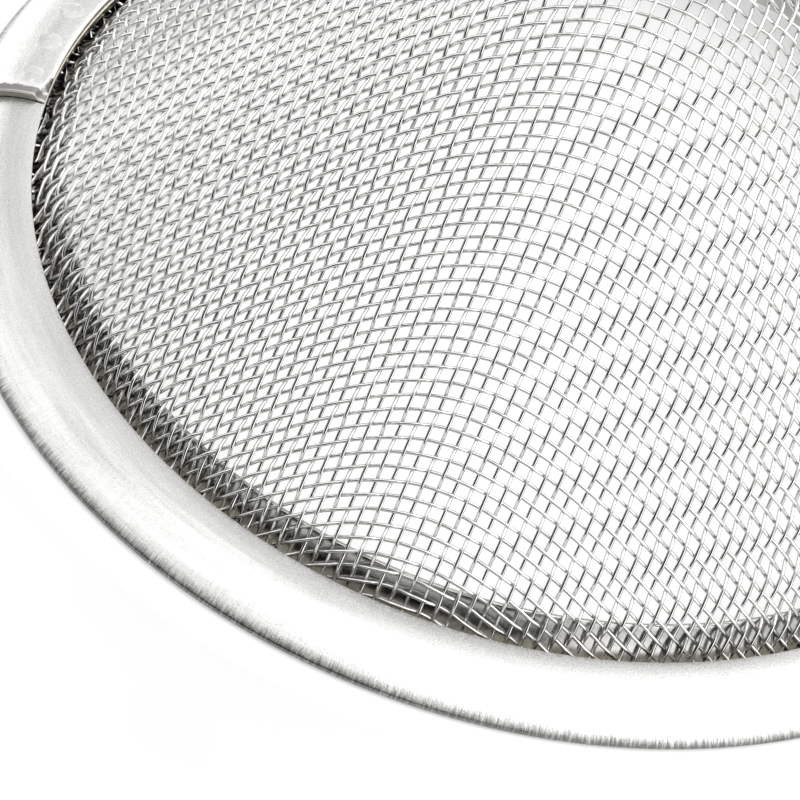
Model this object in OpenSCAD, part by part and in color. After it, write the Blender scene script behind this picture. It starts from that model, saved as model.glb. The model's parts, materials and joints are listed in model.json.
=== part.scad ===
// Small hand sieve for potting soil, lying mouth down with its wire dome up.
// The origin is the middle of the rim, on the plane that the rim rests on.
// The handle points along +X, and the two ends of the rim strip lap on the -X side.

/* [Rim] */
// Radius of the flange's inner edge, where the wire cloth comes out
mouth_r = 38; // [30:0.5:80]
// Width of the rim, from its inner edge to its folded outer edge
rim_w = 5.7; // [5.5:0.1:6.5]
// Height of the flange's inner edge above the table
rim_h = 2.7; // [2.6:0.1:3]
// Radius of the crown, the flange's curve down to its outer edge
crown_r = 7.5; // [7.2:0.1:9]
// Thickness of the rim strip's sheet
sheet = 0.7; // [0.6:0.05:0.7]

/* [Lap joint] */
// Direction of the upper end's cut, counted from +X
lap_start = 182; // [170:1:190]
// Arc over which the strip's two ends lie on each other
lap_arc = 17; // [10:1:25]
// How far down the crown the upper end reaches, as the slope at its edge
lap_wrap = 36; // [25:1:38]
// Number of spot welds that hold the lap
lap_weld_count = 3; // [2:1:4]
// Diameter of the lap's spot welds
lap_weld_d = 2; // [1.5:0.1:2.2]

/* [Wire dome] */
// Slope of the dome's side, the angle of the cone that it follows
side_slope = 56; // [45:1:62]
// How far the dome's round tip lies below the tip of that cone
tip_drop = 20.5; // [10:0.5:40]
// Thickness of the woven cloth, which is two wires
cloth = 0.6; // [0.4:0.1:1]

/* [Backing ring] */
// Thickness of the ring's sheet
ring_sheet = 0.4; // [0.3:0.05:0.5]
// Slope of the ring's lip, which lines the foot of the dome
lip_slope = 68; // [60:1:75]
// Width of the lip, seen from above
lip_w = 1.2; // [0.8:0.1:2]

/* [Handle] */
// Length of the handle beyond the rim
handle_l = 112; // [80:1:160]
// Width of the handle where it leaves the rim
root_w = 22; // [16:1:28]
// Width of the handle's neck
neck_w = 12; // [10:0.5:16]
// Width of the handle's far end
end_w = 19; // [14:0.5:26]
// Thickness of the handle's sheet
strap = 1.2; // [0.8:0.1:1.6]
// Height of the handle's underside above the rim's resting plane
handle_lift = 0.8; // [0.2:0.1:1.5]
// Radius of the hanging hole
hole_r = 3.5; // [2:0.1:5]
// How far the stiffening bead stands up from the handle
bead_h = 0.9; // [0.4:0.1:1.2]
// Number of spot welds that hold the handle
handle_weld_count = 3; // [2:1:4]
// Diameter of the handle's spot welds
handle_weld_d = 2; // [1.5:0.1:2.2]

/* [Hidden] */
$fn = 96;

outer_r = mouth_r + rim_w;
// The flange curves down in a shallow crown and passes into a tight fold at the table.
fold_r = sheet / 2;
fold_centre = [outer_r - fold_r, fold_r];
crown_end = asin((fold_r - rim_h + crown_r) / (crown_r - fold_r));
crown_centre = [fold_centre.x - (crown_r - fold_r) * cos(crown_end), rim_h - crown_r];

// The fold holds the backing ring and the cloth's hem between its two leaves.
flange_low = rim_h - sheet;
hem_low = sheet + ring_sheet;
hem_r = mouth_r + 2.2;
leaf_r = mouth_r + 0.4;

// The cloth turns up out of the fold at the foot, follows the backing ring's
// lip, and bends inward at the lip's free edge to become the dome.
foot = [mouth_r - 0.7, hem_low];
lip_edge = [foot.x - lip_w, foot.y + lip_w * tan(lip_slope)];
slope_k = tan(side_slope);
function hyperbola(r) = sqrt(pow(tip_drop, 2) + pow(slope_k * r, 2));
function dome_z(r) = lip_edge.y + hyperbola(lip_edge.x) - hyperbola(r);
function dome_slope(r) = atan(slope_k * slope_k * r / hyperbola(r));
function dome_normal(r) = [sin(dome_slope(r)), cos(dome_slope(r))];

// A corner of the cloth's section moved out by `out`, where two slopes meet.
function bend(p, slope_a, slope_b, out) =
    let (mid = (slope_a + slope_b) / 2, reach = out / cos((slope_b - slope_a) / 2))
    p + reach * [sin(mid), cos(mid)];
// The cloth's section from its hem to the tip, moved out by `out`.
function cloth_line(out, steps = 24) = concat(
    [[hem_r, hem_low + out], bend(foot, 0, lip_slope, out)],
    [bend(lip_edge, lip_slope, dome_slope(lip_edge.x), out)],
    [for (i = [1:steps])
        let (r = lip_edge.x * (1 - i / steps))
        [r, dome_z(r)] + out * dome_normal(r)]
);

function arc(centre, r, a1, a2, steps = 10) = [
    for (i = [0:steps])
        let (a = a1 + (a2 - a1) * i / steps)
        centre + r * [cos(a), sin(a)]
];
function reversed(points) = [for (i = [len(points) - 1:-1:0]) points[i]];

// Spot welds stand square on the crown, where it slopes this much.
weld_slope = 9;
weld_depth = 0.5;
weld_proud = 0.08;
// The lap's two layers are fused this deep, so that the strip is one solid.
lap_bite = 0.15;
lap_weld_at = [for (i = [0:lap_weld_count - 1])
    lap_start - lap_arc * (i + 0.5) / lap_weld_count];
handle_weld_at = [for (i = [0:handle_weld_count - 1])
    10 * (i - (handle_weld_count - 1) / 2)];

module at_angles(angles) {
    for (a = angles)
        rotate(a)
            translate([crown_centre.x, 0, crown_centre.y])
                rotate([0, weld_slope, 0])
                    children();
}

// A weld joins the flange to the sheet of thickness `upper` that lies on it.
module spot_weld(d, upper, clearance = 0) {
    translate([0, 0, crown_r - weld_depth])
        cylinder(d = d, h = weld_depth + upper + weld_proud + clearance);
}

// Section of the folded strip: the crowned flange on top, the tight fold outside,
// and underneath the leaf that the rim rests on.
module rim_section() {
    inner_r = crown_r - sheet;
    polygon(concat(
        [[mouth_r, flange_low], [mouth_r, rim_h]],
        arc(crown_centre, crown_r, 90, crown_end, 14),
        arc(fold_centre, fold_r, crown_end - 15, -90, 6),
        [[leaf_r, 0], [leaf_r, sheet]],
        arc(crown_centre, inner_r, asin((sheet - crown_centre.y) / inner_r), 90, 10)
    ));
}

// Section of the strip's upper end, which lies on the crown.
module lap_section() {
    wrap_end = 90 - lap_wrap;
    edge_r = mouth_r + 0.1;
    polygon(concat(
        [[edge_r, rim_h - lap_bite], [edge_r, rim_h + sheet]],
        arc(crown_centre, crown_r + sheet, 90, wrap_end),
        arc(crown_centre, crown_r - lap_bite, wrap_end, 90)
    ));
}

module rim_strip() {
    color("gainsboro")
    difference() {
        union() {
            rotate_extrude() rim_section();
            rotate(lap_start - lap_arc) rotate_extrude(angle = lap_arc) lap_section();
        }
        at_angles(lap_weld_at) spot_weld(lap_weld_d, sheet, clearance = 1);
        at_angles(handle_weld_at) spot_weld(handle_weld_d, strap, clearance = 1);
    }
}

// The backing ring sits in the fold under the cloth's hem, and its lip lines the
// foot of the dome on the inside.
module backing_ring() {
    low = hem_low - ring_sheet;
    color("silver")
    rotate_extrude()
        polygon([
            [hem_r, low],
            [hem_r, hem_low],
            foot,
            lip_edge,
            bend(lip_edge, lip_slope, lip_slope, -ring_sheet),
            bend(foot, 0, lip_slope, -ring_sheet)
        ]);
}

// The woven wire cloth, as one closed skin as thick as two wires.
module wire_screen() {
    color("lightgray")
    rotate_extrude()
        polygon(concat(cloth_line(cloth), reversed(cloth_line(0))));
}

module lap_spot_welds() {
    color("darkgray")
    at_angles(lap_weld_at) spot_weld(lap_weld_d, sheet);
}

// The handle lies on the crown, runs straight down past the rim's outer edge to
// just above the table, and widens again to a round end with the hanging hole.
handle_end = outer_r + handle_l;
hole_x = handle_end - end_w / 2;
crank_slope = 25;
crank_from = crown_centre + crown_r * [sin(crank_slope), cos(crank_slope)];
crank_r = crank_from.x + (crank_from.y - handle_lift) / tan(crank_slope);
blade_from = outer_r + 6;
bead_from = outer_r + 16;
bead_to = hole_x - 16;
bead_r = 3;

function ease(t) = (1 - cos(180 * max(0, min(1, t)))) / 2;
function half_width(x) =
    neck_w / 2
    + (root_w - neck_w) / 2 * (1 - ease((x - outer_r) / 22))
    + (end_w - neck_w) / 2 * ease((x - outer_r - 40) / (hole_x - outer_r - 40));

module handle_plan() {
    from = mouth_r;
    steps = 30;
    side = [for (i = [0:steps]) let (x = from + (hole_x - from) * i / steps) [x, half_width(x)]];
    polygon(concat(
        side,
        arc([hole_x, 0], end_w / 2, 80, -80, 16),
        reversed([for (p = side) [p.x, -p.y]])
    ));
}

// Section of the handle's root, from the rim's inner edge out to the flat blade.
module root_section() {
    top = handle_lift + strap;
    polygon(concat(
        arc(crown_centre, crown_r, 90, 90 - crank_slope, 6),
        [[crank_r, handle_lift], [blade_from + 1, handle_lift], [blade_from + 1, top]],
        [[crank_r + strap * tan(crank_slope / 2), top]],
        arc(crown_centre, crown_r + strap, 90 - crank_slope, 90, 6)
    ));
}

// A bead pressed up from below: the same round-ended bar on both faces.
module bead(surface_z) {
    translate([bead_from, 0, surface_z + bead_h - bead_r])
        rotate([0, 90, 0])
            rotate_extrude()
                polygon(concat(arc([0, bead_to - bead_from], bead_r, 90, 0), arc([0, 0], bead_r, 0, -90)));
}

module handle() {
    top = handle_lift + strap;
    color("silver")
    difference() {
        union() {
            intersection() {
                linear_extrude(height = 10) handle_plan();
                rotate(-25) rotate_extrude(angle = 50) root_section();
            }
            intersection() {
                translate([0, 0, handle_lift]) linear_extrude(height = strap) handle_plan();
                translate([blade_from, -root_w, 0]) cube([handle_l, 2 * root_w, 10]);
            }
            intersection() {
                bead(top);
                translate([bead_from - 5, -5, top - 0.3]) cube([bead_to - bead_from + 10, 10, 5]);
            }
        }
        bead(handle_lift);
        translate([hole_x, 0, -1]) cylinder(r = hole_r, h = 10);
        at_angles(handle_weld_at) spot_weld(handle_weld_d, strap, clearance = 1);
    }
}

module handle_spot_welds() {
    color("darkgray")
    at_angles(handle_weld_at) spot_weld(handle_weld_d, strap);
}

rim_strip();
backing_ring();
wire_screen();
lap_spot_welds();
handle();
handle_spot_welds();
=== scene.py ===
# Looks of the hand sieve: woven wire dome, folded rim with its lap, backing ring, welds and handle.
# Lengths in the constants are millimetres; mesh_piece() scales every mesh to metres.
import json
import math

import bpy
import numpy as np
from mathutils import Matrix, Vector

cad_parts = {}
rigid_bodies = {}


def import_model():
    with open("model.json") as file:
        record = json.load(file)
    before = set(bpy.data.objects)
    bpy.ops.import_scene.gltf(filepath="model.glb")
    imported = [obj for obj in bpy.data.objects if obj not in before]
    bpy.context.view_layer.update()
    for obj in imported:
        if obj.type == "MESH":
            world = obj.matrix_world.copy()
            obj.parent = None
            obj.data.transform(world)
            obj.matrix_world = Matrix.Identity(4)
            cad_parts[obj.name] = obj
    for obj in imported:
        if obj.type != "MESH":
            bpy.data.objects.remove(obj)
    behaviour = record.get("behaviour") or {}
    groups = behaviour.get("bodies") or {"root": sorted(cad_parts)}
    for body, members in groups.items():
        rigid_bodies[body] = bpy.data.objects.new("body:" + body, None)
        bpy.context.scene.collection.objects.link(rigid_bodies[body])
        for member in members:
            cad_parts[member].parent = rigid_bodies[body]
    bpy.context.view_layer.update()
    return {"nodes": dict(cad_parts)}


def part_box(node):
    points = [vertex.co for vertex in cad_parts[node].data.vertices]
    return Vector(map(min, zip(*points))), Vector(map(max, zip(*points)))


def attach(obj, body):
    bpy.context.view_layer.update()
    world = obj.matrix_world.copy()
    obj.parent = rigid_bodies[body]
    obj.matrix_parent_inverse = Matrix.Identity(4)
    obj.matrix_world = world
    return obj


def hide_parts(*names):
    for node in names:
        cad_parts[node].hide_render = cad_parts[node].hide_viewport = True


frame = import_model()
# The lap's rag is made of the draws that follow these, which stay unused.
DRAWS_BEFORE_RAG = 258
rng = np.random.default_rng(7)
rng.normal(size=DRAWS_BEFORE_RAG)

MM = 0.001


def box_mm(node):
    low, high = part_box(node)
    return np.array(low) / MM, np.array(high) / MM


rim_low, rim_high = box_mm("rim_strip")
ring_low, ring_high = box_mm("backing_ring")
cloth_low = box_mm("wire_screen")[0]

# Rim: the flange is a shallow crown that ends in a tight fold at the table.
OUTER_R = rim_high[1]
RIM_W = 5.7
MOUTH_R = OUTER_R - RIM_W
SHEET = ring_low[2]
RIM_H = rim_high[2] - SHEET
CROWN_R = 7.5
FOLD_R = SHEET / 2
FOLD_CENTRE = (OUTER_R - FOLD_R, FOLD_R)
CROWN_END = math.degrees(math.asin((FOLD_R - RIM_H + CROWN_R) / (CROWN_R - FOLD_R)))
CROWN_CENTRE = (FOLD_CENTRE[0] - (CROWN_R - FOLD_R) * math.cos(math.radians(CROWN_END)), RIM_H - CROWN_R)
FLANGE_LOW = RIM_H - SHEET
LEAF_R = MOUTH_R + 0.4
EDGE_ROUND = 0.06
TURN_STEP = 0.5

# Lap joint: directions in degrees from +X.
LAP_START = 182.0
LAP_ARC = 17.0
LAP_WRAP = 36.0
LAP_EDGE_R = MOUTH_R + 0.1
LAP_STEP_ARC = 9.0

# Spot welds: a pad's section is a list of (share of the radius, height over the sheet).
STRAP = 1.2
WELD_COUNT = 3
WELD_D = 2.0
WELD_SLOPE = 9.0
WELD_DEPTH = 0.45
WELD_PAD = [
    (1.0, -0.02), (0.97, -0.007), (0.93, 0.0), (0.85, 0.004),
    (0.7, 0.006), (0.5, 0.006), (0.3, 0.005), (0.1, 0.005),
]
HANDLE_WELD_STEP = 10

# Wire cloth: 2/2 twill, on a dome whose section is a hyperbola.
CLOTH = 0.6
WIRE_D = 0.285
PITCH = 1.068
NET_TURN = math.radians(6.9)
NET_SKEW = math.radians(-15.5)
SIDE_SLOPE = 56.0
TIP_DROP = 20.5
HEM_R = ring_high[0]
HEM_LOW = cloth_low[2]
HEM_END = HEM_R - 0.3
WIRE_SIDES = 6
STEPS_PER_PITCH = 4
PART_TRIANGLES = 180000
# Crimp of a wire over two and under two: its first and third harmonic, as shares of the lift.
CRIMP = (1.24, 0.174)

# Backing ring: its lip lines the foot of the dome.
RING_SHEET = 0.4
LIP_SLOPE = 68.0
LIP_W = 1.2
FOOT = (MOUTH_R - 0.7, HEM_LOW)
LIP_EDGE = (FOOT[0] - LIP_W, FOOT[1] + LIP_W * math.tan(math.radians(LIP_SLOPE)))


# ---------------------------------------------------------------- mesh helpers
def mesh_piece(name, points, quads, material, triangles=()):
    points = np.asarray(points, float) * MM
    quads = np.asarray(quads, np.int32).reshape(-1, 4)
    triangles = np.asarray(triangles, np.int32).reshape(-1, 3)
    # The faces are turned to face out of the body.
    split = np.concatenate([quads[:, :3], quads[:, [0, 2, 3]], triangles])
    if np.einsum("ij,ij->", points[split[:, 0]], np.cross(points[split[:, 1]], points[split[:, 2]])) < 0:
        quads, triangles = quads[:, ::-1], triangles[:, ::-1]
    mesh = bpy.data.meshes.new(name)
    mesh.vertices.add(len(points))
    mesh.vertices.foreach_set("co", points.astype(np.float32).ravel())
    mesh.loops.add(quads.size + triangles.size)
    mesh.loops.foreach_set("vertex_index", np.concatenate([quads.ravel(), triangles.ravel()]))
    mesh.polygons.add(len(quads) + len(triangles))
    starts = np.concatenate([np.arange(len(quads)) * 4, quads.size + np.arange(len(triangles)) * 3])
    mesh.polygons.foreach_set("loop_start", starts.astype(np.int32))
    mesh.update(calc_edges=True)
    mesh.validate()
    mesh.polygons.foreach_set("use_smooth", np.ones(len(mesh.polygons), bool))
    mesh.materials.append(material)
    piece = bpy.data.objects.new(name, mesh)
    bpy.context.scene.collection.objects.link(piece)
    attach(piece, "root")
    return piece


def grid_quads(rows, columns, close_rows=False, close_columns=False, start=0):
    i = np.arange(rows if close_rows else rows - 1)
    j = np.arange(columns if close_columns else columns - 1)
    i, j = np.meshgrid(i, j, indexing="ij")
    i2, j2 = (i + 1) % rows, (j + 1) % columns
    quads = np.stack([i * columns + j, i2 * columns + j, i2 * columns + j2, i * columns + j2], -1)
    return quads.reshape(-1, 4) + start


def turned_piece(name, section, material):
    """A closed section of (radius, height) points turned all the way round the Z axis."""
    section = np.asarray(section)
    angles = np.arange(0, 360, TURN_STEP)
    a = np.radians(angles)[:, None]
    r = section[None, :, 0]
    z = np.broadcast_to(section[None, :, 1], (len(angles), len(section)))
    points = np.stack([r * np.cos(a), r * np.sin(a), z], -1)
    quads = grid_quads(len(angles), len(section), close_rows=True, close_columns=True)
    piece = mesh_piece(name, points.reshape(-1, 3), quads, material)
    shade_by_angle(piece)
    return piece


def arc(centre, radius, a1, a2, steps):
    a = np.radians(np.linspace(a1, a2, steps + 1))
    return [(centre[0] + radius * math.cos(t), centre[1] + radius * math.sin(t)) for t in a]


def smoothstep(t):
    t = np.clip(t, 0.0, 1.0)
    return t * t * (3 - 2 * t)


def unit(vectors):
    return vectors / np.linalg.norm(vectors, axis=1, keepdims=True)


def path_length(line):
    return np.concatenate([[0], np.cumsum(np.hypot(*np.diff(line, axis=0).T))])


def shade_by_angle(piece, degrees=35):
    bpy.context.view_layer.objects.active = piece
    for o in bpy.context.view_layer.objects:
        o.select_set(o is piece)
    bpy.ops.object.shade_smooth_by_angle(angle=math.radians(degrees), keep_sharp_edges=True)


# ------------------------------------------------------------------ materials
def add_node(tree, kind, inputs=(), **settings):
    """A node whose inputs are given as values or as the sockets that they are linked from."""
    node = tree.nodes.new(kind)
    for key, value in settings.items():
        setattr(node, key, value)
    for key, value in dict(inputs).items():
        if isinstance(value, bpy.types.NodeSocket):
            tree.links.new(value, node.inputs[key])
        else:
            node.inputs[key].default_value = value
    return node


class Nodes:
    """A material's node tree, with short calls for the nodes that the finishes share."""

    def __init__(self, name, metallic=1.0):
        self.material = bpy.data.materials.new(name)
        self.material.use_nodes = True
        self.tree = self.material.node_tree
        self.shader = self.tree.nodes["Principled BSDF"]
        self.shader.inputs["Metallic"].default_value = metallic

    def math(self, operation, a, b=0.0):
        return add_node(self.tree, "ShaderNodeMath", {0: a, 1: b}, operation=operation).outputs[0]

    def sum(self, *terms):
        """Sum of (value, factor) terms."""
        total = 0.0
        for value, factor in terms:
            total = self.math("ADD", total, self.math("MULTIPLY", value, factor))
        return total

    def position(self):
        """The object's own coordinates in millimetres, apart."""
        place = add_node(self.tree, "ShaderNodeTexCoord").outputs["Object"]
        inputs = {0: place, 1: (1 / MM, 1 / MM, 1 / MM)}
        scaled = add_node(self.tree, "ShaderNodeVectorMath", inputs, operation="MULTIPLY")
        apart = add_node(self.tree, "ShaderNodeSeparateXYZ", {0: scaled.outputs[0]})
        return apart.outputs[0], apart.outputs[1], apart.outputs[2]

    def radius(self, x, y):
        return self.math("SQRT", self.math("ADD", self.math("MULTIPLY", x, x), self.math("MULTIPLY", y, y)))

    def polar(self):
        """Arc length round the rim, radius and height; the seam is on the +X side."""
        x, y, z = self.position()
        back_x = self.math("MULTIPLY", x, -1.0)
        back_y = self.math("MULTIPLY", y, -1.0)
        angle = self.math("ARCTAN2", back_y, back_x)
        return self.math("MULTIPLY", angle, ARC_R), self.radius(x, y), z

    def noise(self, x, y, z, scales, detail=3.0, roughness=0.6):
        """Noise from 0 to 1, with this many waves per millimetre along each coordinate."""
        parts = [self.math("MULTIPLY", v, s) for v, s in zip((x, y, z), scales)]
        place = add_node(self.tree, "ShaderNodeCombineXYZ", dict(enumerate(parts))).outputs[0]
        inputs = {"Vector": place, "Scale": 1.0, "Detail": detail, "Roughness": roughness}
        return add_node(self.tree, "ShaderNodeTexNoise", inputs).outputs["Fac"]

    def even_noise(self, *arguments):
        """Noise about 0."""
        return self.math("SUBTRACT", self.noise(*arguments), 0.5)

    def spread(self, value, low, high, out_low, out_high):
        inputs = {0: value, 1: low, 2: high, 3: out_low, 4: out_high}
        return add_node(self.tree, "ShaderNodeMapRange", inputs, clamp=True).outputs[0]

    def tone(self, value, stops):
        """A ramp through stops of (place, (red, green, blue))."""
        ramp = add_node(self.tree, "ShaderNodeValToRGB", {0: value})
        while len(ramp.color_ramp.elements) < len(stops):
            ramp.color_ramp.elements.new(0.5)
        for element, (place, colour) in zip(ramp.color_ramp.elements, stops):
            element.position = place
            element.color = (*colour, 1.0)
        return ramp.outputs[0]

    def blend(self, amount, colour, shade):
        inputs = {0: amount, 6: colour, 7: (*shade, 1.0)}
        return add_node(self.tree, "ShaderNodeMix", inputs, data_type="RGBA").outputs[2]

    def link(self, value, socket):
        self.tree.links.new(value, self.shader.inputs[socket])

    def bump(self, height, strength, distance):
        inputs = {"Height": height, "Strength": strength, "Distance": distance * MM}
        self.link(add_node(self.tree, "ShaderNodeBump", inputs).outputs[0], "Normal")


# Radius at which the rim's arc length is counted in the finishes.
ARC_R = 40.0


def rim_steel(name, inner_edge, sheared_end=False):
    """Rolled sheet: fine grain, a darker inner flange, and painted dark shade, streaked radially, at the
    folded outer edge.
    """
    n = Nodes(name)
    along, radius, z = n.polar()
    brush = n.even_noise(along, radius, z, (7.0, 0.25, 0.25), 5.0, 0.7)
    grain = n.even_noise(along, radius, z, (8.0, 8.0, 8.0), 3.0, 0.75)
    broad = n.even_noise(along, radius, z, (0.10, 0.5, 0.3), 3.0, 0.5)
    rolled = n.even_noise(along, radius, z, (0.12, 1.7, 1.7), 4.0, 0.65)
    shade_streaks = n.even_noise(along, radius, z, (9.0, 0.9, 0.9), 4.0, 0.75)

    streaks = n.math("MULTIPLY", brush, n.spread(radius, OUTER_R - 2.6, OUTER_R - 0.4, 0.08, 1.0))
    shade = n.sum((streaks, 0.7), (broad, 0.35), (rolled, 0.6), (grain, 0.55))
    stops = [(0.25, (0.55, 0.545, 0.54)), (0.5, (0.72, 0.715, 0.705)), (0.75, (0.84, 0.835, 0.83))]
    colour = n.tone(n.math("ADD", shade, 0.5), stops)
    # The inner part of the flange is darker grey than the crown, with a wavy border.
    wavy_radius = n.sum((radius, 1.0), (rolled, 2.5))
    darker_inner = n.spread(wavy_radius, inner_edge + 1.7, inner_edge + 2.7, 0.40, 0.0)
    colour = n.blend(darker_inner, colour, (0.50, 0.50, 0.50))
    # Painted dark shade on the outer fold, in streaks that reach in unevenly; it ends at the table side of
    # the fold.
    reach = n.sum((radius, 1.0), (shade_streaks, 1.6))
    above_fold = n.spread(z, 0.12, 0.3, 0.0, 1.0)
    painted_edge_shade = n.math("MULTIPLY", n.spread(reach, OUTER_R - 0.55, OUTER_R, 0.0, 0.85), above_fold)
    colour = n.blend(painted_edge_shade, colour, (0.10, 0.098, 0.095))
    # The cut inner edge is raw and a little yellow.
    raw = n.spread(radius, inner_edge + 0.04, inner_edge + 0.09, 1.0, 0.0)
    colour = n.blend(raw, colour, (0.62, 0.58, 0.49))
    roughness = n.spread(n.sum((streaks, 0.7), (grain, 0.4)), -0.2, 0.2, 0.20, 0.36)
    # The sheared end gets a ragged shear band, painted highlights and painted shade.
    if sheared_end:
        colour, roughness = cut_end_marks_and_painted_light(n, colour, roughness)
    n.link(colour, "Base Color")
    n.link(roughness, "Roughness")
    n.bump(n.sum((streaks, 1.0), (grain, 0.5)), 0.7, 0.05)
    return n.material


def cut_end_marks_and_painted_light(n, colour, roughness):
    """Colours by their distance from the cut: a painted pale highlight, a ragged grey shear band that is
    partly painted shade, a painted bright highlight on the arris, and painted olive shade on the end face.
    """
    x, y, z = n.position()
    cut = math.radians(LAP_START)
    away = n.math("SUBTRACT", n.math("MULTIPLY", x, math.sin(cut)), n.math("MULTIPLY", y, math.cos(cut)))
    ragged = n.even_noise(x, y, z, (2.2, 2.2, 2.2), 4.0, 0.65)
    torn = n.sum((away, 1.0), (ragged, 0.7))
    painted_highlight_reach = n.sum((torn, 1.0), (ragged, 3.0))
    # In order: painted pale highlight, shear band partly darkened as painted shade, painted highlight on the
    # arris, painted olive shade on the end face.
    for amount, shade, rough in (
        (n.spread(painted_highlight_reach, 0.6, 1.6, 1.0, 0.0), (0.80, 0.77, 0.78), 0.45),
        (n.spread(torn, 0.55, 0.68, 1.0, 0.0), (0.24, 0.235, 0.23), 0.5),
        (n.spread(away, 0.09, 0.13, 1.0, 0.0), (0.78, 0.77, 0.75), 0.35),
        (n.spread(away, 0.005, 0.02, 1.0, 0.0), (0.42, 0.415, 0.36), 0.5),
    ):
        colour = n.blend(amount, colour, shade)
        kept = n.math("MULTIPLY", roughness, n.math("SUBTRACT", 1.0, amount))
        roughness = n.math("ADD", kept, n.math("MULTIPLY", amount, rough))
    return colour, roughness


def wire_steel():
    """Drawn wire, bright and smooth."""
    n = Nodes("screen_wire")
    x, y, z = n.position()
    fine = n.noise(x, y, z, (6.0, 6.0, 6.0), 3.0, 0.6)
    broad = n.noise(x, y, z, (0.35, 0.35, 0.35), 2.0, 0.5)
    stops = [(0.3, (0.60, 0.60, 0.59)), (0.7, (0.74, 0.735, 0.725))]
    n.link(n.tone(n.sum((fine, 0.5), (broad, 0.5)), stops), "Base Color")
    n.link(n.spread(fine, 0.3, 0.7, 0.07, 0.16), "Roughness")
    return n.material


def ring_steel():
    """Thin sheet, mottled and darker than the rim."""
    n = Nodes("ring_steel")
    along, radius, z = n.polar()
    mottle = n.noise(along, radius, z, (0.9, 1.2, 1.2), 4.0, 0.6)
    n.link(n.tone(mottle, [(0.3, (0.40, 0.395, 0.385)), (0.7, (0.58, 0.57, 0.56))]), "Base Color")
    n.link(n.spread(mottle, 0.3, 0.7, 0.16, 0.27), "Roughness")
    n.bump(mottle, 0.25, 0.05)
    return n.material


def handle_steel():
    """Sheet brushed along the handle."""
    n = Nodes("handle_steel")
    x, y, z = n.position()
    brush = n.noise(x, y, z, (0.25, 8.0, 8.0), 4.0, 0.65)
    broad = n.noise(x, y, z, (0.1, 0.4, 0.4), 2.0, 0.5)
    stops = [(0.3, (0.48, 0.475, 0.47)), (0.7, (0.66, 0.655, 0.645))]
    n.link(n.tone(n.sum((brush, 0.6), (broad, 0.4)), stops), "Base Color")
    n.link(n.spread(brush, 0.3, 0.7, 0.26, 0.42), "Roughness")
    n.bump(brush, 0.4, 0.03)
    return n.material


def weld_steel():
    """Pale pad of a spot weld."""
    n = Nodes("weld_steel")
    x, y, z = n.position()
    scale = n.noise(x, y, z, (2.0, 2.0, 2.0), 4.0, 0.6)
    stops = [(0.3, (0.70, 0.69, 0.685)), (0.5, (0.75, 0.745, 0.735)), (0.7, (0.81, 0.80, 0.795))]
    n.link(n.tone(scale, stops), "Base Color")
    n.link(n.spread(scale, 0.3, 0.7, 0.22, 0.34), "Roughness")
    n.bump(scale, 0.35, 0.05)
    return n.material


RIM_STEEL = rim_steel("rim_steel", MOUTH_R)
LAP_STEEL = rim_steel("rim_lap_steel", LAP_EDGE_R, sheared_end=True)
WIRE_STEEL = wire_steel()
RING_STEEL = ring_steel()
HANDLE_STEEL = handle_steel()
WELD_STEEL = weld_steel()


# ------------------------------------------------------------------ wire cloth
def hyperbola(r):
    return np.sqrt(TIP_DROP**2 + (math.tan(math.radians(SIDE_SLOPE)) * np.asarray(r)) ** 2)


def cloth_profile():
    """Radius and height of the cloth's middle surface, from the tip to the hem, with rounded bends."""
    k = math.tan(math.radians(SIDE_SLOPE))
    r = np.linspace(0, LIP_EDGE[0], 400)
    z = LIP_EDGE[1] + hyperbola(LIP_EDGE[0]) - hyperbola(r)
    slope = np.arctan(k * k * r / hyperbola(r))
    line = np.stack([r + CLOTH / 2 * np.sin(slope), z + CLOTH / 2 * np.cos(slope)], 1)
    lip = math.radians(LIP_SLOPE)
    side = np.array([math.sin(lip), math.cos(lip)]) * CLOTH / 2
    foot = np.array(FOOT) + [CLOTH / 2 * math.tan(lip / 2), CLOTH / 2]
    edge = np.array(LIP_EDGE) + side
    line = np.concatenate([line[line[:, 0] < edge[0] - 0.1], [edge, foot, [HEM_END, foot[1]]]])
    length = path_length(line)
    s = np.arange(0, length[-1], 0.05)
    line = np.stack([np.interp(s, length, line[:, 0]), np.interp(s, length, line[:, 1])], 1)
    # A running mean over 0.8 mm rounds the bends; the heights are mirrored at the tip.
    reach = 8
    window = np.hanning(2 * reach + 1)
    window /= window.sum()
    padded = np.pad(line, ((reach, reach), (0, 0)), mode="reflect", reflect_type="odd")
    padded[:reach, 1] = line[1:reach + 1, 1][::-1]
    line = np.stack([np.convolve(padded[:, c], window, "valid") for c in (0, 1)], 1)
    line[0, 0] = 0.0
    return line


PROFILE = cloth_profile()
RADII = np.linspace(0, PROFILE[-1, 0], 4000)
HEIGHTS = np.interp(RADII, PROFILE[:, 0], PROFILE[:, 1])
SLOPES = np.gradient(HEIGHTS, RADII)


def surface(x, y):
    """Height of the cloth's middle surface, and its slopes along X and Y."""
    r = np.hypot(x, y) + 1e-9
    slope = np.interp(r, RADII, SLOPES)
    return np.interp(r, RADII, HEIGHTS), slope * x / r, slope * y / r


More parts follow.
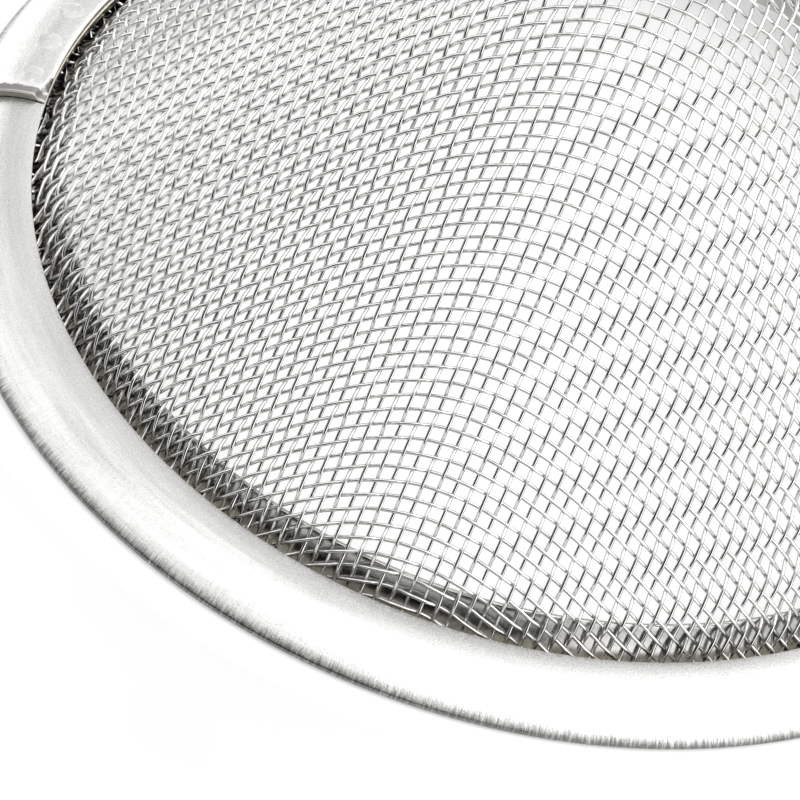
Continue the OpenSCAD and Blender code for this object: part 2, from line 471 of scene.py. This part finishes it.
def next_crossings(a, b, corner):
    """Points of the cloth one pitch from `a` and from `b`, across from `corner`, by Newton's method."""
    xy = (a + b - corner)[:, :2].copy()
    for _ in range(9):
        z, zx, zy = surface(xy[:, 0], xy[:, 1])
        da = np.c_[xy, z] - a
        db = np.c_[xy, z] - b
        miss_a = (da**2).sum(1) - PITCH**2
        miss_b = (db**2).sum(1) - PITCH**2
        ax, ay = 2 * (da[:, 0] + da[:, 2] * zx), 2 * (da[:, 1] + da[:, 2] * zy)
        bx, by = 2 * (db[:, 0] + db[:, 2] * zx), 2 * (db[:, 1] + db[:, 2] * zy)
        det = ax * by - ay * bx
        det = np.where(np.abs(det) < 1e-4, 1e-4, det)
        step = np.c_[(by * miss_a - ay * miss_b) / det, (ax * miss_b - bx * miss_a) / det]
        xy -= np.clip(step, -PITCH, PITCH)
    new = np.c_[xy, surface(xy[:, 0], xy[:, 1])[0]]
    tolerance = 0.05
    gone = np.hypot(xy[:, 0], xy[:, 1]) > HEM_END
    gone |= np.abs(np.linalg.norm(new - a, axis=1) - PITCH) > tolerance
    gone |= np.abs(np.linalg.norm(new - b, axis=1) - PITCH) > tolerance
    new[gone] = np.nan
    return new


def woven_net(count=64):
    """Crossings of the cloth's two sets of wires: every side of every mesh is one pitch long."""
    size = 2 * count + 1
    net = np.full((size, size, 3), np.nan)
    length = path_length(PROFILE)
    axes = (
        (math.cos(NET_TURN), math.sin(NET_TURN)),
        (-math.sin(NET_TURN + NET_SKEW), math.cos(NET_TURN + NET_SKEW)),
    )
    # One wire of each set runs straight over the tip.
    for k in range(-count, count + 1):
        if abs(k) * PITCH > length[-1]:
            continue
        r = np.interp(abs(k) * PITCH, length, PROFILE[:, 0]) * np.sign(k)
        for axis, place in zip(axes, ((k + count, count), (count, k + count))):
            net[place] = (r * axis[0], r * axis[1], surface(r * axis[0], r * axis[1])[0])
    # Each quarter between them is filled diagonal by diagonal.
    for side_i in (1, -1):
        for side_j in (1, -1):
            for total in range(2, 2 * count + 1):
                i = np.arange(max(1, total - count), min(count, total - 1) + 1)
                j = total - i
                a = net[count + side_i * (i - 1), count + side_j * j]
                b = net[count + side_i * i, count + side_j * (j - 1)]
                corner = net[count + side_i * (i - 1), count + side_j * (j - 1)]
                known = ~np.isnan(a[:, 0] + b[:, 0] + corner[:, 0])
                if known.any():
                    place = (count + side_i * i[known], count + side_j * j[known])
                    net[place] = next_crossings(a[known], b[known], corner[known])
    return net


def tube(nodes, over, lift):
    """One crimped wire through its crossings; `over` is its place in the two-over, two-under repeat."""
    n = len(nodes)
    t = np.arange(0, (n - 1) * STEPS_PER_PITCH + 1) / STEPS_PER_PITCH
    k = np.minimum(t.astype(int), n - 2)
    f = (t - k)[:, None]
    # A smooth curve through the crossings (Catmull-Rom)
    ext = np.concatenate([[2 * nodes[0] - nodes[1]], nodes, [2 * nodes[-1] - nodes[-2]]])
    p0, p1, p2, p3 = ext[k], ext[k + 1], ext[k + 2], ext[k + 3]
    square, cube = 2 * p0 - 5 * p1 + 4 * p2 - p3, 3 * p1 - p0 - 3 * p2 + p3
    path = 0.5 * (2 * p1 + (p2 - p0) * f + square * f**2 + cube * f**3)
    z, zx, zy = surface(path[:, 0], path[:, 1])
    normal = unit(np.stack([-zx, -zy, np.ones(len(path))], 1))
    turn = (over + t) * math.pi / 2 + math.pi / 4
    path = path + normal * (lift * (CRIMP[0] * np.sin(turn) + CRIMP[1] * np.sin(3 * turn)))[:, None]
    ahead = unit(np.gradient(path, axis=0))
    side = unit(np.cross(ahead, normal))
    up = np.cross(side, ahead)
    a = np.arange(WIRE_SIDES) * 2 * math.pi / WIRE_SIDES
    ring = up[:, None] * np.cos(a)[None, :, None] + side[:, None] * np.sin(a)[None, :, None]
    return (path[:, None] + ring * WIRE_D / 2).reshape(-1, 3), len(path)


def runs(line):
    """Stretches of a wire whose crossings all exist."""
    good = ~np.isnan(line[:, 0])
    edges = np.flatnonzero(np.diff(np.concatenate([[0], good.astype(int), [0]])))
    return [(a, b) for a, b in zip(edges[::2], edges[1::2]) if b - a >= 3]


def wires_piece(name, tubes):
    starts = np.cumsum([0] + [len(points) for points, rings in tubes])
    quads = [
        grid_quads(rings, WIRE_SIDES, close_columns=True, start=start)
        for (points, rings), start in zip(tubes, starts)
    ]
    points = np.concatenate([points for points, rings in tubes])
    piece = mesh_piece(name, points, np.concatenate(quads), WIRE_STEEL)
    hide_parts("wire_screen")


def weave():
    """Both sets of wires, each in as many pieces as the export's limit on triangles needs."""
    net = woven_net()
    # An upright lies over the crosswires, and a crosswire under the uprights, where (i - j) mod 4 is 0 or 1.
    for family, lines, lift, shift in (
        ("uprights", net, WIRE_D / 2, 1),
        ("crosswires", net.swapaxes(0, 1), -WIRE_D / 2, 0),
    ):
        wires = [
            (line[start:end], (start - i + shift) % 4)
            for i, line in enumerate(lines)
            for start, end in runs(line)
        ]
        total = sum(len(line) for line, over in wires)
        parts = max(1, math.ceil(total * STEPS_PER_PITCH * WIRE_SIDES * 2 / PART_TRIANGLES))
        tubes, done, part = [], 0, 1
        for line, over in wires:
            tubes.append(tube(line, over, lift))
            done += len(line)
            if done > total * part / parts:
                wires_piece(f"{family}_{part}", tubes)
                tubes, part = [], part + 1
        if tubes:
            wires_piece(f"{family}_{part}", tubes)


weave()


# ------------------------------------------------------------------------ rim
def rim():
    """The folded strip all the way round: cut inner edge, crown, outer fold and the leaf underneath."""
    edge = EDGE_ROUND
    inner_r = CROWN_R - SHEET
    inner_end = math.degrees(math.asin((SHEET - CROWN_CENTRE[1]) / inner_r))
    section = [(MOUTH_R + edge / 2, FLANGE_LOW + edge / 2), (MOUTH_R, FLANGE_LOW + edge)]
    section += [(MOUTH_R, FLANGE_LOW + 2 * edge), (MOUTH_R, RIM_H - 2 * edge), (MOUTH_R, RIM_H - edge)]
    section += arc((MOUTH_R + edge, RIM_H - edge), edge, 170, 92, 4)
    section += arc(CROWN_CENTRE, CROWN_R, 90, CROWN_END, 30)
    section += arc(FOLD_CENTRE, FOLD_R, CROWN_END, -90, 14)[1:]
    # The leaf's free edge
    section += [(LEAF_R + 0.1, 0), (LEAF_R + 0.03, 0.03), (LEAF_R, 0.1)]
    section += [(LEAF_R, SHEET - 0.1), (LEAF_R + 0.03, SHEET - 0.03), (LEAF_R + 0.1, SHEET)]
    section += arc(CROWN_CENTRE, inner_r, inner_end, 90, 12)
    piece = turned_piece("rim", section, RIM_STEEL)
    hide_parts("rim_strip")


def lap():
    """The strip's upper end lies on the crown. Its sheared end is ragged, and its hidden end steps down."""
    base = np.array(arc(CROWN_CENTRE, CROWN_R, 90, 90 - LAP_WRAP, 25))
    base = np.concatenate([[(LAP_EDGE_R, RIM_H)], base[base[:, 0] > LAP_EDGE_R + 0.15]])
    away = unit(base - np.array(CROWN_CENTRE))
    away[0] = (0, 1)
    across = path_length(base)
    # Both long edges are rounded over.
    edge_drop = 0.10 * (1 - smoothstep(across / 0.25)) + 0.22 * (1 - smoothstep((across[-1] - across) / 0.3))
    far = LAP_START - LAP_ARC
    ends = LAP_START - np.array([0, 0.03, 0.07, 0.11, 0.15, 0.25, 0.4, 0.55, 0.7, 0.8, 0.9, 1.0, 1.15, 1.3])
    step_down = far - np.linspace(0.4, LAP_STEP_ARC, 24)
    angles = np.concatenate([ends, np.linspace(LAP_START - 1.5, far, 50), step_down])
    # The sheared end is a rounded-over band as wide as the sheet is thick, ragged along its inner side.
    rag = np.convolve(rng.normal(0, 1, len(base) + 4), np.ones(5) / 5, "valid")
    band = 0.62 + 0.08 * rag
    rows = []
    for a in angles:
        from_end = math.radians(LAP_START - a) * ARC_R
        chamfer = 0.16 * (1 - smoothstep(from_end / band)) + 0.10 * (1 - smoothstep(from_end / 0.1))
        # The inner corner of the end is bevelled.
        corner = np.minimum(1.1 * np.clip(1 - (from_end / 2.4 + across / 0.9), 0, 1), 0.4)
        thick = SHEET - edge_drop - chamfer - corner
        step = SHEET * 1.08 * smoothstep((far - a) / LAP_STEP_ARC)
        gap = 0.07 * (1 - smoothstep(from_end / 2.5))
        low = base + away * (gap - step)
        top = base + away * (thick + gap - step)[:, None]
        rows.append(np.concatenate([top, low[::-1]]))
    rows = np.array(rows)
    a = np.radians(angles)[:, None]
    points = np.stack([rows[..., 0] * np.cos(a), rows[..., 0] * np.sin(a), rows[..., 1]], -1)
    n = rows.shape[1]
    last = (len(angles) - 1) * n
    caps = [(n - 1 - j, n - 2 - j, j + 1, j) for j in range(n // 2 - 1)]
    caps += [(last + j, last + j + 1, last + n - 2 - j, last + n - 1 - j) for j in range(n // 2 - 1)]
    quads = np.concatenate([grid_quads(len(angles), n, close_columns=True), caps])
    piece = mesh_piece("rim_lap", points.reshape(-1, 3), quads, LAP_STEEL)
    shade_by_angle(piece, 50)
    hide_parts("rim_strip")


rim()
lap()


# --------------------------------------------------------------- backing ring
def backing_ring():
    """The ring's flat part lies in the fold, and its lip curls up to a rounded free edge."""
    foot, edge = np.array(FOOT), np.array(LIP_EDGE)
    start, corner = foot + [1.3, 0], foot + [-0.12, 0.05]
    u = np.linspace(0, 1, 24)[:, None]
    curl = (1 - u) ** 2 * start + 2 * u * (1 - u) * corner + u * u * edge
    ahead = unit(np.gradient(curl, axis=0))
    inward = np.stack([-ahead[:, 1], ahead[:, 0]], 1)
    back = curl + inward * RING_SHEET
    low = HEM_LOW - RING_SHEET
    round_r = RING_SHEET / 2
    tip = curl[-1] + inward[-1] * round_r
    section = [(HEM_R - 0.05, low), (HEM_R, low + 0.05), (HEM_R, HEM_LOW - 0.05), (HEM_R - 0.05, HEM_LOW)]
    section += [tuple(p) for p in curl]
    section += [
        tuple(tip + round_r * (-inward[-1] * math.cos(a) + ahead[-1] * math.sin(a)))
        for a in np.linspace(0, math.pi, 9)[1:-1]
    ]
    section += [tuple(p) for p in back[::-1]]
    piece = turned_piece("ring", section, RING_STEEL)
    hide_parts("backing_ring")


backing_ring()


# --------------------------------------------------------------------- welds
def spot_weld(name, node, degrees, upper):
    """A plug through both sheets, seen as a shallow soft-edged pad on the crown."""
    foot = [(0.1, -WELD_DEPTH - upper), (1.0, -WELD_DEPTH - upper)]
    rings, heights = np.array(foot + WELD_PAD).T
    turn = np.arange(0, 360, 9)
    t = np.radians(turn)[:, None]
    out = WELD_D / 2 * rings[None, :] * np.cos(t)
    side = WELD_D / 2 * rings[None, :] * np.sin(t)
    reach = CROWN_R + upper + heights[None, :]
    slope = math.radians(WELD_SLOPE) + out / (CROWN_R + upper)
    r = CROWN_CENTRE[0] + reach * np.sin(slope)
    a = math.radians(degrees) + side / r
    points = np.stack([r * np.cos(a), r * np.sin(a), CROWN_CENTRE[1] + reach * np.cos(slope)], -1)
    n = len(rings)
    quads = grid_quads(len(turn), n, close_rows=True)
    points = np.concatenate([points.reshape(-1, 3), [points[:, 0].mean(0), points[:, -1].mean(0)]])
    low, top = len(points) - 2, len(points) - 1
    i = np.arange(len(turn))
    j = (i + 1) % len(turn)
    bottom_cap = np.stack([j * n, i * n, np.full(len(turn), low)], -1)
    top_cap = np.stack([i * n + n - 1, j * n + n - 1, np.full(len(turn), top)], -1)
    caps = np.concatenate([bottom_cap, top_cap])
    piece = mesh_piece(name, points, quads, WELD_STEEL, triangles=caps)
    shade_by_angle(piece, 50)
    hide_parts(node)


for i in range(WELD_COUNT):
    lap_at = LAP_START - LAP_ARC * (i + 0.5) / WELD_COUNT
    handle_at = HANDLE_WELD_STEP * (i - (WELD_COUNT - 1) / 2)
    spot_weld(f"lap_weld_{i}", "lap_spot_welds", lap_at, SHEET)
    spot_weld(f"handle_weld_{i}", "handle_spot_welds", handle_at, STRAP)

# --------------------------------------------------------------------- handle
handle = frame["nodes"]["handle"]
handle.data.materials.clear()
handle.data.materials.append(HANDLE_STEEL)


# ---------------------------------------------------------------------- stage
def floor(half_width=1.5):
    """A white table, half_width metres to each side, with a lamp under it as wide as the sieve."""
    n = Nodes("table", metallic=0.0)
    x, y, z = n.position()
    n.shader.inputs["Roughness"].default_value = 0.7
    n.shader.inputs["Emission Color"].default_value = (1, 1, 1, 1)
    n.link(n.spread(n.radius(x, y), OUTER_R - 3, OUTER_R + 3, 0.50, 0.09), "Emission Strength")
    stops = [(0.3, (0.58, 0.58, 0.58)), (0.7, (0.62, 0.62, 0.62))]
    n.link(n.tone(n.noise(x, y, z, (0.02, 0.02, 0.02)), stops), "Base Color")
    mesh = bpy.data.meshes.new("table")
    w, low = half_width, rim_low[2] * MM
    mesh.from_pydata([(-w, -w, low), (w, -w, low), (w, w, low), (-w, w, low)], [], [(0, 1, 2, 3)])
    mesh.materials.append(n.material)
    table = bpy.data.objects.new("table", mesh)
    bpy.context.scene.collection.objects.link(table)


# Strengths of the light tent's panels, ring by ring: (elevation, half width, {azimuth from +X: strength}).
# The camera stands at azimuth -90, and the tent is open below it. The key panels are on the right and low
# behind the sieve.
KEY, SOFT, DIM = 1.8, 1.0, 0.65
PANELS = [
    (90, 16, {0: SOFT}),
    (60, 22, {90: DIM, 30: KEY, -30: KEY, -90: SOFT, -150: SOFT, 150: DIM}),
    (33, 20, {135: DIM, 90: DIM, 45: KEY, 0: KEY, -45: DIM, 180: SOFT}),
    (8, 21, {135: KEY, 90: KEY, 45: SOFT, 0: SOFT, -45: KEY, 180: DIM}),
]
PANEL_SOFTNESS = 5
BACKDROP = 0.9


def studio_light():
    """The soft panels of a light tent round the table. The camera itself sees a plain pale backdrop."""
    world = bpy.data.worlds.new("studio")
    world.use_nodes = True
    tree = world.node_tree
    place = add_node(tree, "ShaderNodeTexCoord").outputs["Generated"]
    total = 0.0
    for elevation, half_width, ring in PANELS:
        for azimuth, strength in ring.items():
            a, e = math.radians(azimuth), math.radians(elevation)
            middle = (math.cos(a) * math.cos(e), math.sin(a) * math.cos(e), math.sin(e))
            facing = add_node(tree, "ShaderNodeVectorMath", {0: place, 1: middle}, operation="DOT_PRODUCT")
            edge = math.cos(math.radians(half_width + PANEL_SOFTNESS))
            full = math.cos(math.radians(half_width - PANEL_SOFTNESS))
            inputs = {0: facing.outputs["Value"], 1: edge, 2: full, 3: 0.0, 4: strength}
            panel = add_node(tree, "ShaderNodeMapRange", inputs, interpolation_type="SMOOTHSTEP")
            inputs = {0: total, 1: panel.outputs[0]}
            total = add_node(tree, "ShaderNodeMath", inputs, operation="ADD").outputs[0]
    tent = tree.nodes["Background"]
    tree.links.new(total, tent.inputs["Strength"])
    tent.inputs["Color"].default_value = (1, 1, 1, 1)
    backdrop = add_node(tree, "ShaderNodeBackground", {"Color": (BACKDROP, BACKDROP, BACKDROP, 1)})
    rays = add_node(tree, "ShaderNodeLightPath")
    inputs = {0: rays.outputs["Is Camera Ray"], 1: tent.outputs[0], 2: backdrop.outputs[0]}
    mix = add_node(tree, "ShaderNodeMixShader", inputs)
    tree.links.new(mix.outputs[0], tree.nodes["World Output"].inputs["Surface"])
    bpy.context.scene.world = world


floor()
studio_light()
scene = bpy.context.scene
scene.view_settings.view_transform = "Standard"

# The camera looks down at 44 degrees from half a metre away, and is rolled against the rim.
CAMERA_RISE = math.radians(44.42)
CAMERA_ROLL = math.radians(-18.52)
# Where the middle of the rim lies before the lens, in mouth radii: right, up, and back along the view
RIM_IN_VIEW = Vector((0.2870, 0.2641, -13.2362))
SENSOR = 36
LENS = 315

turn = Matrix.Rotation(CAMERA_ROLL, 3, "Z") @ Matrix.Rotation(-(math.pi / 2 - CAMERA_RISE), 3, "X")
place = turn.inverted() @ -(RIM_IN_VIEW * MOUTH_R * MM) + Vector((0, 0, RIM_H * MM))
camera = bpy.data.objects.new("camera", bpy.data.cameras.new("camera"))
camera.data.sensor_width = SENSOR
camera.data.lens = LENS
camera.data.clip_start = 0.01
camera.data.clip_end = 20
camera.matrix_world = Matrix.Translation(place) @ turn.inverted().to_4x4()
scene.collection.objects.link(camera)
scene.camera = camera
